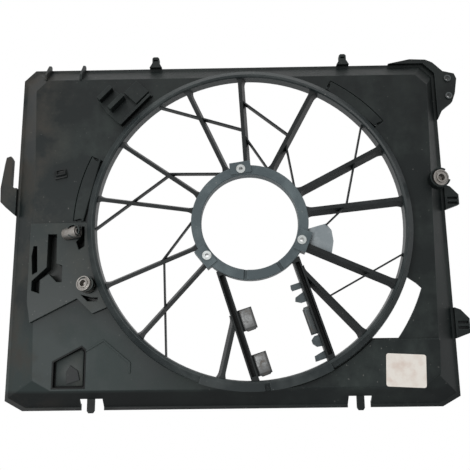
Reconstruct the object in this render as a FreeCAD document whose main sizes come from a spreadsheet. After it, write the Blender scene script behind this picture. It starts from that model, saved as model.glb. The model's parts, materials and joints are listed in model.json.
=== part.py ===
import FreeCAD, Part

import math
import os

import Sketcher
from FreeCAD import Placement, Rotation, Vector

# Radiator fan shroud, seen as it stands in the car.
# The origin is where the fan axis meets the radiator face. X runs along the shroud, Z points up and the
# engine lies towards -Y, so every "depth" below is a distance from the radiator face towards the engine.
# Angles are seen from the engine side, from +X towards +Z.

SIZES = {
    # dished panel
    "back_left": 322.0,
    "back_right": 268.0,
    "back_top": 238.0,
    "back_bottom": 237.0,
    "draft_left_top": 22.0,
    "draft_left_bottom": 38.0,
    "draft_right_top": 14.0,
    "draft_right_bottom": 27.0,
    "draft_top": 22.0,
    "draft_bottom": 22.0,
    "corner_cut": 16.0,
    "low_cut_across": 24.0,
    "low_cut_up": 13.0,
    "face_depth": 25.0,
    "panel_wall": 3.0,
    "wall_inset": 4.2,
    "flange_width": 4.0,
    "flange_thick": 3.0,
    # fan ring
    "rim_depth": 49.0,
    "throat_radius": 205.0,
    "ring_wall": 2.5,
    "crest_radius": 3.5,
    "lip_width": 9.5,
    "skirt_height": 6.0,
    "shoulder_inset": 2.0,
    "shoulder_drop": 7.0,
    # motor ring
    "motor_radius": 64.5,
    "motor_ring_width": 13.1,
    "motor_ring_front": 47.0,
    "motor_ring_back": 31.0,
    "boss_circle": 72.5,
    "boss_angle": 98.7,
    "boss_length": 28.0,
    "boss_width": 20.0,
    "boss_rise": 2.0,
    "insert_radius": 4.0,
    "insert_flange_radius": 6.0,
    "insert_flange_thick": 1.0,
    "insert_length": 13.0,
    "bolt_radius": 2.6,
    # stator struts and their braces
    "strut_front": 45.0,
    "strut_chord": 14.0,
    "strut_lean": 4.5,
    "strut_width": 5.0,
    "strut_root": 9.0,
    "strut_flare": 3.0,
    "root_overlap": 1.2,
    "brace_front": 42.0,
    "brace_chord": 8.0,
    "brace_width": 2.2,
    # ram-air windows and flaps
    "window_width": 22.0,
    "window_span": 23.0,
    "duct_outer": 242.0,
    "duct_span": 24.0,
    "ledge_width": 4.0,
    "ledge_thick": 2.2,
    "end_ledge_span": 3.0,
    "end_wall_span": 1.5,
    "end_ledge_drop": 2.5,
    "flap_gap": 1.5,
    "flap_thick": 2.0,
    "flap_rest_gap": 0.3,
    "hinge_inset": 5.0,
    "hinge_knuckle": 2.0,
    "hinge_pin": 1.05,
    "hinge_clearance": 0.06,
    "ear_length": 3.0,
    "ear_wall": 1.5,
    "ear_gap": 0.4,
    "pin_recess": 0.5,
    # rails that carry the control module
    "rail_front": 46.0,
    "rail_width": 10.0,
    "rail_wall": 2.2,
    "rail_floor": 3.0,
    "tab_thick": 3.0,
    "tab_reach": 19.0,
    "tab_length": 28.0,
    "clip_seat": 37.0,
    "clip_length": 24.0,
    "clip_bow": 2.0,
    "spring_steel": 0.9,
    "leaf_span": 34.0,
    "leaf_bow": 7.0,
    "leaf_width": 12.0,
    # clips for hoses and lines
    "clip_height": 14.0,
    "clip_wall": 2.0,
    "liner_thick": 0.8,
    "liner_lip": 4.0,
    "clip_opening": 70.0,
    "upper_clip_radius": 9.0,
    "lower_clip_radius": 10.0,
    "right_clip_radius": 13.5,
    # outer fixings
    "edge_thick": 8.0,
    "catch_thick": 9.0,
    "bush_radius": 5.0,
    "bush_bore": 3.2,
    "rib_thick": 3.0,
    "tongue_width": 10.0,
    "notch_width": 30.0,
    "tongue_thick": 3.0,
    "tongue_depth": 10.5,
    "notch_top": 226.0,
    "tray_depth": 9.0,
    "tray_wall": 2.0,
    "label_width": 48.5,
    "label_height": 40.0,
    "label_thick": 0.3,
    "platform_rise": 4.0,
    "platform_top": 155.0,
    "holder_height": 15.0,
    "holder_base": 3.0,
    # deck with the blind recesses at the left
    "deck_rise": 5.0,
    "deck_wall": 3.0,
    "deck_foot": 17.0,
    "recess_floor": 10.0,
    "recess_wall": 2.0,
}

# a cut-off piece is waste when it is smaller than this share of the largest piece beside it
CRUMB = 0.05

doc = FreeCAD.newDocument("fan_shroud")
sheet = doc.addObject("Spreadsheet::Sheet", "Sizes")
for row, (alias, number) in enumerate(SIZES.items(), start=1):
    sheet.set(f"A{row}", alias)
    sheet.set(f"B{row}", str(number))
    sheet.setAlias(f"B{row}", alias)
doc.recompute()


class Size:
    """A number together with the spreadsheet expression that gives it."""

    def __init__(self, value, text):
        self.value = value
        self.text = text

    def __add__(self, other):
        other = size_of(other)
        return Size(self.value + other.value, f"({self.text} + {other.text})")

    def __sub__(self, other):
        other = size_of(other)
        return Size(self.value - other.value, f"({self.text} - {other.text})")

    def __mul__(self, other):
        other = size_of(other)
        return Size(self.value * other.value, f"({self.text} * {other.text})")

    def __truediv__(self, other):
        other = size_of(other)
        return Size(self.value / other.value, f"({self.text} / {other.text})")

    def __neg__(self):
        return Size(-self.value, f"(-1 * {self.text})")

    __radd__ = __add__
    __rmul__ = __mul__

    def __rsub__(self, other):
        return size_of(other) - self


def size_of(thing):
    """A plain number, an alias of the sheet or a Size, as a Size."""
    if isinstance(thing, Size):
        return thing
    if isinstance(thing, str):
        return Size(SIZES[thing], f"{sheet.Name}.{thing}")
    return Size(float(thing), f"{float(thing):.6f}")


def cosine(degrees):
    degrees = size_of(degrees)
    return Size(math.cos(math.radians(degrees.value)), f"cos({degrees.text})")


def sine(degrees):
    degrees = size_of(degrees)
    return Size(math.sin(math.radians(degrees.value)), f"sin({degrees.text})")


def polar(radius, degrees):
    """The point at a radius and an angle round the fan axis."""
    return size_of(radius) * cosine(degrees), size_of(radius) * sine(degrees)


def bind(item, field, amount):
    """Give a property its value and the expression that keeps it."""
    amount = size_of(amount)
    setattr(item, field, amount.value)
    item.setExpression(field, amount.text)


def new_body(name):
    body = doc.addObject("PartDesign::Body", name)
    body.Label = name
    return body


def new_sketch(body, name, plane="XZ_Plane", offset=0.0, turn=0.0):
    """A sketch on one of the body's origin planes, moved along its normal and turned in the plane.

    XZ_Plane faces the engine, so there the offset is a depth and the turn is an angle.
    """
    offset = size_of(offset)
    support = next(item for item in body.Origin.OriginFeatures if item.Role == plane)
    item = body.newObject("Sketcher::SketchObject", name)
    item.AttachmentSupport = (support, [""])
    item.MapMode = "FlatFace"
    item.AttachmentOffset = Placement(Vector(0, 0, offset.value), Rotation(Vector(0, 0, 1), size_of(turn).value))
    item.setExpression("AttachmentOffset.Base.z", offset.text)
    return item


def constrain(item, amount, *parts):
    """Add a driven constraint and bind it to the sheet."""
    amount = size_of(amount)
    index = item.addConstraint(Sketcher.Constraint(*parts, amount.value))
    item.setExpression(f"Constraints[{index}]", amount.text)


def pin_point(item, geometry, end, spot):
    """Hold one end of a sketch element at a place measured from the sketch's origin."""
    constrain(item, spot[0], "DistanceX", -1, 1, geometry, end)
    constrain(item, spot[1], "DistanceY", -1, 1, geometry, end)


def arc_between(start, end, radius):
    """An arc from start to end that turns left for a positive radius and right for a negative one."""
    chord = end - start
    height = math.sqrt(max(radius * radius - chord.Length ** 2 / 4, 0.0))
    side = Vector(-chord.y, chord.x, 0).normalize()
    centre = (start + end) / 2 + side * (height if radius > 0 else -height)
    first, last = (start, end) if radius > 0 else (end, start)
    angles = [math.atan2(spot.y - centre.y, spot.x - centre.x) for spot in (first, last)]
    return Part.ArcOfCircle(Part.Circle(centre, Vector(0, 0, 1), abs(radius)), *angles)


def draw_outline(item, corners, arcs=None):
    """Close a loop through the corners. arcs gives the radius of the side that starts at a corner."""
    arcs = {number: size_of(radius) for number, radius in (arcs or {}).items()}
    corners = [(size_of(across), size_of(up)) for across, up in corners]
    spots = [Vector(across.value, up.value, 0) for across, up in corners]
    sides = []
    for number, corner in enumerate(corners):
        start = spots[number]
        end = spots[(number + 1) % len(spots)]
        radius = arcs.get(number)
        if radius is None:
            element = item.addGeometry(Part.LineSegment(start, end))
        else:
            element = item.addGeometry(arc_between(start, end, radius.value))
            constrain(item, Size(abs(radius.value), f"abs({radius.text})"), "Radius", element)
        ends = (2, 1) if radius is not None and radius.value < 0 else (1, 2)
        pin_point(item, element, ends[0], corner)
        sides.append((element, ends))
    for number, (element, ends) in enumerate(sides):
        following, following_ends = sides[(number + 1) % len(sides)]
        item.addConstraint(Sketcher.Constraint("Coincident", element, ends[1], following, following_ends[0]))


def draw_circle(item, centre, radius):
    spot = [size_of(part) for part in centre]
    radius = size_of(radius)
    middle = Vector(spot[0].value, spot[1].value, 0)
    element = item.addGeometry(Part.Circle(middle, Vector(0, 0, 1), radius.value))
    pin_point(item, element, 3, spot)
    constrain(item, radius, "Radius", element)


def rounded(corner, inward, radius, facets):
    """Points of a quarter round that replaces a square corner, in a few flat facets.

    The corner's two sides run inward along its first and second direction; the points go from the
    second side to the first.
    """
    across, up = (size_of(part) for part in corner)
    radius = size_of(radius)
    spots = []
    for step in range(facets + 1):
        swing = 90.0 * step / facets
        spots.append((
            across + radius * (1 - cosine(swing)) * inward[0],
            up + radius * (1 - sine(swing)) * inward[1],
        ))
    return spots


def rectangle(left, right, low, high):
    return [(left, low), (right, low), (right, high), (left, high)]


def inset(corners, amount):
    """An anticlockwise outline moved inwards on every side, or outwards by a negative amount."""
    amount = size_of(amount).value
    spots = [Vector(size_of(across).value, size_of(up).value, 0) for across, up in corners]
    moved = []
    for number, spot in enumerate(spots):
        before = (spot - spots[number - 1]).normalize()
        after = (spots[(number + 1) % len(spots)] - spot).normalize()
        inward = Vector(-before.y - after.y, before.x + after.x, 0)
        share = amount * 2 / (inward.Length ** 2)
        moved.append((spot.x + inward.x * share, spot.y + inward.y * share))
    return moved


def pad(body, profile, length):
    """Add the profile's prism, along the sketch's normal."""
    feature = body.newObject("PartDesign::Pad", f"{profile.Name}_pad")
    feature.Profile = profile
    bind(feature, "Length", length)
    return feature


def pocket(body, profile, length):
    """Cut the profile's prism, against the sketch's normal."""
    feature = body.newObject("PartDesign::Pocket", f"{profile.Name}_pocket")
    feature.Profile = profile
    bind(feature, "Length", length)
    return feature


def revolve(body, kind, profile, angle=360.0):
    """Turn the profile about the sketch's vertical axis, which is the fan axis."""
    feature = body.newObject(f"PartDesign::{kind}", f"{profile.Name}_turned")
    feature.Profile = profile
    feature.ReferenceAxis = (profile, ["V_Axis"])
    bind(feature, "Angle", angle)
    return feature


def loft(body, kind, first, last):
    feature = body.newObject(f"PartDesign::{kind}", f"{first.Name}_loft")
    feature.Profile = first
    feature.Sections = [last]
    feature.Ruled = True
    return feature


def plate(name, corners, low, thick, arcs=None):
    """A body that is one flat plate, facing the engine."""
    body = new_body(name)
    profile = new_sketch(body, f"{name}_outline", offset=low)
    draw_outline(profile, corners, arcs)
    pad(body, profile, thick)
    return body


def group(name, members):
    """Several solids of the same moulding or the same fastener, kept as one node."""
    item = doc.addObject("Part::Compound", name)
    item.Links = members
    item.Label = name
    return item


def butt(name, base, *seats):
    """The base cut back to the faces it butts against, without the crumbs left inside or beyond them."""
    doc.recompute()
    left = base.Shape.cut([seat.Shape for seat in seats])
    item = doc.addObject("Part::Feature", name)
    limit = CRUMB * max(solid.Volume for solid in left.Solids)
    item.Shape = Part.makeCompound([solid for solid in left.Solids if solid.Volume > limit])
    item.Label = name
    return item


# ---------------------------------------------------------------- dished panel

FLANGE_OUTER = size_of("flange_width")
WINDOW_ANGLES = {"left": 166.5, "upper_right": 49.0}
DUCT_ANGLE = -32.0


def panel_corners(left_top, left_bottom, right_top, right_bottom, top, bottom):
    """The eight corners of a panel section, clockwise from the left side."""
    cut = size_of("corner_cut")
    return [
        (-left_bottom, -(bottom - "low_cut_up")),
        (-left_top, top - cut),
        (-left_top + cut, top),
        (right_top - cut, top),
        (right_top, top - cut),
        (right_bottom, -(bottom - "low_cut_up")),
        (right_bottom - "low_cut_across", -bottom),
        (-left_bottom + "low_cut_across", -bottom),
    ]


def panel_section(depth, inset):
    """The panel's outline at a depth, moved inwards by the inset."""
    rise = (size_of(depth) - size_of("flange_thick")) / (size_of("face_depth") - size_of("flange_thick"))
    inset = size_of(inset)

    def reach(base, draft):
        return size_of(base) - size_of(draft) * rise - inset

    return panel_corners(
        reach("back_left", "draft_left_top"),
        reach("back_left", "draft_left_bottom"),
        reach("back_right", "draft_right_top"),
        reach("back_right", "draft_right_bottom"),
        reach("back_top", "draft_top"),
        reach("back_bottom", "draft_bottom"),
    )


def make_panel():
    """The dished panel with its back flange, its fan hole, its windows and its service openings."""
    body = new_body("shroud_panel")
    back = new_sketch(body, "panel_back", offset="flange_thick")
    draw_outline(back, panel_section("flange_thick", 0.0))
    front = new_sketch(body, "panel_front", offset="face_depth")
    draw_outline(front, panel_section("face_depth", 0.0))
    loft(body, "AdditiveLoft", back, front)

    floor_depth = size_of("face_depth") - size_of("panel_wall")
    inner_back = new_sketch(body, "dish_back", offset="flange_thick")
    draw_outline(inner_back, panel_section("flange_thick", "wall_inset"))
    inner_front = new_sketch(body, "dish_front", offset=floor_depth)
    draw_outline(inner_front, panel_section(floor_depth, "wall_inset"))
    loft(body, "SubtractiveLoft", inner_back, inner_front)

    flange = new_sketch(body, "flange")
    draw_outline(flange, panel_section("flange_thick", -FLANGE_OUTER))
    draw_outline(flange, panel_section("flange_thick", "wall_inset"))
    pad(body, flange, "flange_thick")

    fan_hole = new_sketch(body, "fan_hole", offset=size_of("face_depth") + 1)
    draw_circle(fan_hole, (0, 0), LIP_OUTER - "ring_wall")
    pocket(body, fan_hole, size_of("panel_wall") + 2)

    for side, angle in WINDOW_ANGLES.items():
        cut_window(body, side, angle)
    duct = new_sketch(body, "duct", offset=size_of("face_depth") + 1)
    draw_outline(duct, DUCT, {2: -size_of("duct_outer")})
    pocket(body, duct, size_of("panel_wall") + 2)
    for number, middle in enumerate(NOTCHES):
        notch = new_sketch(body, f"notch_{number}", offset=size_of("face_depth") + 1)
        half = size_of("notch_width") / 2
        draw_outline(notch, rectangle(middle - half, middle + half, -edge("bottom", 5), -size_of("notch_top")))
        pocket(body, notch, size_of("face_depth") + 2)
    tray_hole = new_sketch(body, "tray_hole", offset=size_of("face_depth") + 1)
    draw_outline(tray_hole, TRAY)
    pocket(body, tray_hole, size_of("panel_wall") + 2)
    deck_hole = new_sketch(body, "deck_hole", offset=size_of("face_depth") + 1)
    draw_outline(deck_hole, DECK, {DECK_RING_SIDE: -LIP_OUTER})
    pocket(body, deck_hole, size_of("face_depth") + 1 - "deck_foot")
    ridge = new_sketch(body, "stiffening_ridge", offset="face_depth")
    draw_outline(ridge, RIDGE)
    pad(body, ridge, 1.2)
    add_platform(body)
    return body


# the open duct beside the ring: its inner side lies in the fan hole
DUCT = [(138, -153), (196, -66), (226, -87), (191, -153)]
RIDGE = [
    (-215, -166), (-193, -153), (-160, -181), (-159, -194), (-157, -194), (-157, -180), (-193, -150.5), (-215, -163.5),
]


def add_platform(body):
    """The raised lower right corner, which starts at a straight ledge under the open window."""
    skirt = LIP_OUTER.value + 2
    top = -SIZES["platform_top"]
    low = -(SIZES["back_bottom"] - SIZES["draft_bottom"] - 1)
    right = SIZES["back_right"] - SIZES["draft_right_bottom"]
    profile = new_sketch(body, "platform", offset="face_depth")
    draw_outline(profile, [
        (math.sqrt(skirt ** 2 - top ** 2), top), (right + 2, top), (right, low + 16), (right - 22, low),
        (70, low), (math.sqrt(skirt ** 2 - low ** 2), low),
    ], {5: skirt})
    pad(body, profile, "platform_rise")


def sector(body, kind, name, middle, span, corners):
    """Add or cut a sector of a ring round the fan axis, whose section is the corners."""
    profile = new_sketch(body, name, plane="XY_Plane")
    start = size_of(middle) + size_of(span) / 2
    profile.AttachmentOffset = Placement(Vector(0, 0, 0), Rotation(Vector(0, -1, 0), start.value))
    draw_outline(profile, corners)
    return revolve(body, kind, profile, span)


def cut_window(body, side, angle):
    """A ram-air window beside the ring, with a ledge behind its outer edge for the flap to rest on."""
    face = size_of("face_depth")
    inner = LIP_OUTER
    outer = WINDOW_OUTER
    span = size_of("window_span")
    low = face - size_of("panel_wall") - 1
    section = [(inner, -(face + 1)), (outer, -(face + 1)), (outer, -low), (inner, -low)]
    sector(body, "Groove", f"window_{side}", angle, span, section)
    top = face - size_of("flap_thick") - size_of("flap_rest_gap")
    foot = top - size_of("ledge_thick")
    behind = outer + size_of("ledge_width") / 2
    lip = outer - size_of("ledge_width")
    ledge = [(lip, -top), (lip, -foot), (behind, -foot), (behind, -(face - 1)), (outer, -(face - 1)), (outer, -top)]
    sector(body, "Revolution", f"ledge_{side}", angle, span, ledge)

    # behind each end, under the hinge ears: a short ledge, and the wall that carries it
    reach = size_of("end_ledge_span")
    wall = size_of("end_wall_span")
    low = foot - "end_ledge_drop"
    floor = [(inner - 1, -(foot + 0.2)), (inner - 1, -low), (behind, -low), (behind, -(foot + 0.2))]
    riser = [(inner - 1, -(face - 1)), (inner - 1, -low), (behind, -low), (behind, -(face - 1))]
    for end in (-1, 1):
        middle = size_of(angle) + (span + wall - reach) / 2 * end
        sector(body, "Revolution", f"end_ledge_{side}_{end + 1}", middle, reach + wall, floor)
        middle = size_of(angle) + (span + wall) / 2 * end
        sector(body, "Revolution", f"end_wall_{side}_{end + 1}", middle, wall, riser)


HUB_OUTER = size_of("motor_radius") + size_of("motor_ring_width")
THROAT = size_of("throat_radius")
LIP_OUTER = THROAT + size_of("crest_radius") + size_of("lip_width")
WINDOW_OUTER = LIP_OUTER + size_of("window_width")
HINGE_RADIUS = LIP_OUTER + size_of("hinge_inset")
STRUT_BACK = size_of("strut_front") - size_of("strut_chord")

DECK = [
    (-295, 5), (-295, -100), (-290, -128), (-229, -97), (-208, -117),
    polar(LIP_OUTER, -150.0), polar(LIP_OUTER, 178.7),
]
DECK_RING_SIDE = 5
# blind recesses of the deck, anticlockwise
RECESSES = {
    "slot": [(-290, -26), (-292, -40), (-290, -65), (-283, -61), (-285, -26)],
    "well": [
        (-271, -10), (-271, -55), (-290, -73), (-290, -86), (-279, -90), (-279, -72), (-268, -64), (-257, -75),
        (-250, -75), (-250, -53), (-258, -50), (-259, -10),
    ],
    "clip_side": [(-226, 0), (-226, -13), (-233, -21), (-229, -32), (-221.5, -27), (-222.5, 0)],
    "clip_foot": [(-224, -92), (-215, -101), (-202, -101), (-201, -96), (-209, -96)],
}


# ---------------------------------------------------------------- fan ring and motor ring

def make_fan_ring():
    """The wall round the fan, with its rolled rim and the skirt that lands on the panel."""
    body = new_body("fan_ring")
    rim = size_of("rim_depth")
    face = size_of("face_depth")
    crest = size_of("crest_radius")
    wall = size_of("ring_wall")
    top = THROAT + crest
    foot = face + "skirt_height"
    shoulder = (LIP_OUTER - "shoulder_inset", -(rim - "shoulder_drop"))
    under_shoulder = (shoulder[0] - wall, shoulder[1])
    profile = new_sketch(body, "ring_section", plane="XY_Plane")
    draw_outline(profile, [
        (THROAT, -STRUT_BACK),
        *rounded((THROAT, -rim), (1, 1), crest, 2),
        shoulder,
        (LIP_OUTER, -foot),
        (LIP_OUTER, -face),
        (LIP_OUTER - wall, -face),
        (LIP_OUTER - wall, -foot),
        under_shoulder,
        (top, -(rim - wall)),
        (THROAT + wall, -(rim - crest)),
        (THROAT + wall, -STRUT_BACK),
    ])
    revolve(body, "Revolution", profile)
    corner = [
        (top, -rim), (LIP_OUTER, -rim), (LIP_OUTER, -foot), (LIP_OUTER - wall, -foot), under_shoulder,
        (top, -(rim - wall)),
    ]
    for number, angle in enumerate(BRIDGES):
        sector(body, "Revolution", f"bridge_{number}", angle, BRIDGE_SPAN, corner)
    outside = LIP_OUTER + 1
    away = [(top, -(rim + 1)), (outside, -(rim + 1)), (outside, -(face - 1)), (top, -(face - 1))]
    sector(body, "Groove", "duct_side", DUCT_ANGLE, "duct_span", away)
    return body


# the rim is squared off along its bottom, in two flats with a gap between them
BRIDGES = (-97.0, -73.0)
BRIDGE_SPAN = 22.0


def make_motor_ring():
    """The seat for the fan motor: a ring with three bolt bosses and two drain grooves."""
    body = new_body("motor_ring")
    section = new_sketch(body, "seat_section", plane="XY_Plane")
    low, high = -size_of("motor_ring_front"), -size_of("motor_ring_back")
    bevel = size_of("boss_rise") / 2
    draw_outline(section, [
        ("motor_radius", high),
        ("motor_radius", low + bevel),
        (size_of("motor_radius") + bevel, low),
        (HUB_OUTER - bevel, low),
        (HUB_OUTER, low + bevel),
        (HUB_OUTER, high),
    ])
    revolve(body, "Revolution", section)

    turn = size_of("boss_angle") - 90
    half = size_of("boss_length") / 2
    middle = size_of("boss_circle")
    reach = size_of("boss_width") / 2
    front = size_of("motor_ring_front") + size_of("boss_rise")
    boss = new_sketch(body, "boss", offset="motor_ring_back", turn=turn)
    inner = size_of("motor_radius")
    outer = middle + reach
    draw_outline(boss, rectangle(-half, half, inner + 2, outer))
    boss_pad = pad(body, boss, front - size_of("motor_ring_back"))
    hole = new_sketch(body, "insert_hole", offset=front + 1, turn=turn)
    draw_circle(hole, (0, middle), "insert_radius")
    hole_pocket = pocket(body, hole, front - size_of("motor_ring_back") + 2)
    pattern = body.newObject("PartDesign::PolarPattern", "three_bosses")
    pattern.Originals = [boss_pad, hole_pocket]
    pattern.Axis = (boss, ["N_Axis"])
    pattern.Angle = 360
    pattern.Occurrences = 3
    body.Tip = pattern
    for name, angle in (("drain_left", GROOVE_ANGLES[0]), ("drain_right", GROOVE_ANGLES[1])):
        groove = new_sketch(body, name, offset=size_of("motor_ring_front") + 1, turn=angle - 90)
        draw_outline(groove, rectangle(-2.2, 2.2, inner - 1, HUB_OUTER + 1))
        pocket(body, groove, 4)
    return body


GROOVE_ANGLES = (-95.5, -57.5)


def make_insert(number):
    """One threaded insert, pressed into its boss from the engine side."""
    body = new_body(f"motor_insert_{number}")
    turn = size_of("boss_angle") - 90 + 120 * number
    front = size_of("motor_ring_front") + size_of("boss_rise")
    centre = (0, "boss_circle")
    shank = new_sketch(body, f"insert_shank_{number}", offset=front - size_of("insert_length"), turn=turn)
    draw_circle(shank, centre, "insert_radius")
    draw_circle(shank, centre, "bolt_radius")
    pad(body, shank, "insert_length")
    collar = new_sketch(body, f"insert_collar_{number}", offset=front, turn=turn)
    draw_circle(collar, centre, "insert_flange_radius")
    draw_circle(collar, centre, "bolt_radius")
    pad(body, collar, "insert_flange_thick")
    return body


# ---------------------------------------------------------------- struts, rails and braces

# name: the angle where it leaves the motor ring, the angle where it meets the fan ring
STRUTS = {
    "east": (9.6, 7.4),
    "north_east": (30.9, 28.9),
    "north_north_east": (66.4, 63.5),
    "north": (91.5, 92.5),
    "north_north_west": (112.2, 113.7),
    "north_west": (150.0, 146.9),
    "west": (166.6, 170.0),
    "west_south_west": (-155.2, -156.5),
    "south_west": (-136.8, -134.0),
    "east_south_east": (-25.2, -24.3),
}
RAILS = {
    "left": (-121.6, -88.8),
    "right": (-39.7, -60.7),
}
# branch struts: the rail, how far down the rail they start, the angle where they meet the fan ring
BRANCHES = {
    "south": ("left", 62.0, -101.2),
    "south_east": ("right", 16.0, -46.2),
}


def ring_point(radius, angle):
    """A place in the plane of the shroud, as a vector in X and Z."""
    across, up = polar(radius, angle)
    return Vector(across.value, 0, up.value)


def strut_ends(name):
    """Where a strut or a rail's centre line starts and ends, a little inside what it butts against."""
    overlap = size_of("root_overlap")
    table = STRUTS if name in STRUTS else RAILS
    if name in BRANCHES:
        rail, distance, angle = BRANCHES[name]
        top, bottom = strut_ends(rail)
        start = top + (bottom - top).normalize() * distance
        return start, ring_point(THROAT + overlap, angle)
    hub_angle, ring_angle = table[name]
    return ring_point(HUB_OUTER - overlap, hub_angle), ring_point(THROAT + overlap, ring_angle)


def along(start, end):
    """The placement of a bar drawn along X, put on the line from start to end."""
    run = end - start
    angle = math.degrees(math.atan2(run.z, run.x))
    return Placement(start, Rotation(Vector(0, -1, 0), angle)), run.Length


def bar_outline(length, width, root, flare):
    """A bar along X whose ends widen in fillets."""
    half = size_of(width) / 2
    root = size_of(root)
    flare = size_of(flare)
    length = size_of(length)
    fillet = (root * root + flare * flare) / (2 * flare)
    corners = [
        (0, -(half + flare)),
        (root, -half),
        (length - root, -half),
        (length, -(half + flare)),
        (length, half + flare),
        (length - root, half),
        (root, half),
        (0, half + flare),
    ]
    return corners, {0: -fillet, 2: -fillet, 4: -fillet, 6: -fillet}


def make_strut(name):
    """A stator blade: it leans round the fan axis as it goes back, and widens at both roots."""
    body = new_body(f"strut_{name}")
    place, length = along(*strut_ends(name))
    corners, arcs = bar_outline(length, "strut_width", "strut_root", "strut_flare")
    lean = size_of("strut_lean") / 2
    back = new_sketch(body, f"{name}_back", offset=STRUT_BACK)
    draw_outline(back, [(across, up - lean) for across, up in corners], arcs)
    front = new_sketch(body, f"{name}_front", offset="strut_front")
    draw_outline(front, [(across, up + lean) for across, up in corners], arcs)
    loft(body, "AdditiveLoft", back, front)
    body.Placement = place
    return body


def make_rail(side):
    """A rail of the control module's bay: a channel that is open towards the engine."""
    body = new_body(f"bare_rail_{side}")
    place, length = along(*strut_ends(side))
    web = new_sketch(body, f"{side}_web", offset=STRUT_BACK)
    half = size_of("rail_width") / 2
    draw_outline(web, rectangle(0, length, -half, half))
    pad(body, web, size_of("rail_front") - STRUT_BACK)
    groove = new_sketch(body, f"{side}_groove", offset=size_of("rail_front") + 1)
    end = size_of("motor_ring_width") / 2
    inner = half - "rail_wall"
    draw_outline(groove, rectangle(end, size_of(length) - end, -inner, inner))
    pocket(body, groove, size_of("rail_front") + 1 - STRUT_BACK - "rail_floor")
    body.Placement = place
    return body


# thin braces: where each starts and ends, as a strut and the distance along it from the fan axis,
# or as the angle on one of the two rings
BRACES = [
    (("ring", 126.4), ("north", 130.0)),
    (("north", 172.0), ("north_north_east", 133.0)),
    (("north_north_east", 120.0), ("hub", 36.5)),
    (("north", 121.0), ("hub", 69.0)),
    (("ring", 41.0), ("east", 130.0)),
    (("east", 127.0), ("gusset", 0.0)),
    (("hub", 117.0), ("north_west", 130.0)),
    (("north_west", 127.0), ("ring", -178.0)),
    (("hub", 178.0), ("west_south_west", 128.0)),
    (("west_south_west", 124.0), ("ring", -122.0)),
    (("ring", -12.5), ("south_east", 141.0)),
]
GUSSET = [(76, -10), (101, -3), (108, -12), (110, -27), (106, -49), (76, -36)]


def anchor(kind, amount):
    """The place that a brace's end is drawn to."""
    if kind == "gusset":
        return Vector(GUSSET[1][0], 0, GUSSET[1][1] - 2)
    if kind == "ring":
        return ring_point(THROAT + size_of("root_overlap"), amount)
    if kind == "hub":
        return ring_point(HUB_OUTER - size_of("root_overlap"), amount)
    start, end = strut_ends(kind)
    share = (amount - start.Length) / (end.Length - start.Length)
    return start + (end - start) * share


def make_brace(number, start, end):
    body = new_body(f"brace_{number}")
    place, length = along(anchor(*start), anchor(*end))
    profile = new_sketch(body, f"brace_{number}_outline", offset=size_of("brace_front") - size_of("brace_chord"))
    half = size_of("brace_width") / 2
    draw_outline(profile, rectangle(0, length, -half, half))
    pad(body, profile, "brace_chord")
    body.Placement = place
    return body


# ---------------------------------------------------------------- ram-air flaps

def window_frame(angle):
    """Turns a piece drawn with its window's middle along +Z to the window's place round the ring."""
    return Placement(Vector(0, 0, 0), Rotation(Vector(0, -1, 0), angle - 90))


def flap_axis():
    """Depth of the flap's hinge line: the knuckle is flush with the panel's face."""
    return size_of("face_depth") - size_of("hinge_knuckle")


def window_reach():
    """Half the window's length along the hinge line."""
    half_span = size_of("window_span") / 2
    return HINGE_RADIUS * sine(half_span) / cosine(half_span)


def knuckle_half():
    """Half the length of the flap's knuckle, which fills the space between the two ears."""
    return window_reach() - "ear_length" - "ear_gap"


def across_sketch(body, name, reach):
    """A sketch facing along the hinge, a distance to the left of the window's middle."""
    return new_sketch(body, name, plane="YZ_Plane", offset=-size_of(reach))


def make_flap(side):
    """A flap that covers one window: a thin plate with a knuckle along its straight inner edge."""
    body = new_body(f"ram_flap_{side}")
    axis_spot = (-flap_axis(), HINGE_RADIUS)
    half = knuckle_half()
    knuckle = across_sketch(body, f"{side}_knuckle", half)
    draw_circle(knuckle, axis_spot, "hinge_knuckle")
    pad(body, knuckle, half * 2)
    outer = WINDOW_OUTER - size_of("flap_gap")
    tip_angle = size_of("window_span") / 2 - size_of("flap_gap") / WINDOW_OUTER * 57.3
    reach, rise = outer * sine(tip_angle), outer * cosine(tip_angle)
    leaf = new_sketch(body, f"{side}_leaf", offset=size_of("face_depth") - size_of("flap_thick"))
    shoulder = HINGE_RADIUS + "hinge_knuckle" + "ear_wall" + "ear_gap"
    draw_outline(leaf, [
        (half, HINGE_RADIUS), (half, shoulder), (reach, rise), (-reach, rise), (-half, shoulder),
        (-half, HINGE_RADIUS),
    ], {2: outer})
    pad(body, leaf, "flap_thick")
    bore = across_sketch(body, f"{side}_bore", -(half + 1))
    draw_circle(bore, axis_spot, size_of("hinge_pin") + size_of("hinge_clearance"))
    pocket(body, bore, half * 2 + 2)
    body.Placement = window_frame(WINDOW_ANGLES[side])
    return body


def make_flap_pin(side):
    """The steel pin that the flap turns on, held in an ear at each end."""
    body = new_body(f"flap_pin_{side}")
    reach = window_reach() - "pin_recess"
    profile = across_sketch(body, f"{side}_pin", reach)
    draw_circle(profile, (-flap_axis(), HINGE_RADIUS), "hinge_pin")
    pad(body, profile, reach * 2)
    body.Placement = window_frame(WINDOW_ANGLES[side])
    return body


def make_ear(side, number):
    """One ear of a flap's hinge, an eye moulded on the window's end."""
    body = new_body(f"bare_ear_{side}_{number}")
    start = window_reach() if number else size_of("ear_length") - window_reach()
    profile = across_sketch(body, f"{side}_ear_{number}", start)
    spot = (-flap_axis(), HINGE_RADIUS)
    draw_circle(profile, spot, size_of("hinge_pin") + "ear_wall")
    draw_circle(profile, spot, "hinge_pin")
    pad(body, profile, "ear_length")
    body.Placement = window_frame(WINDOW_ANGLES[side])
    return body


# ---------------------------------------------------------------- hooks and spring clips of the module bay

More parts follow.
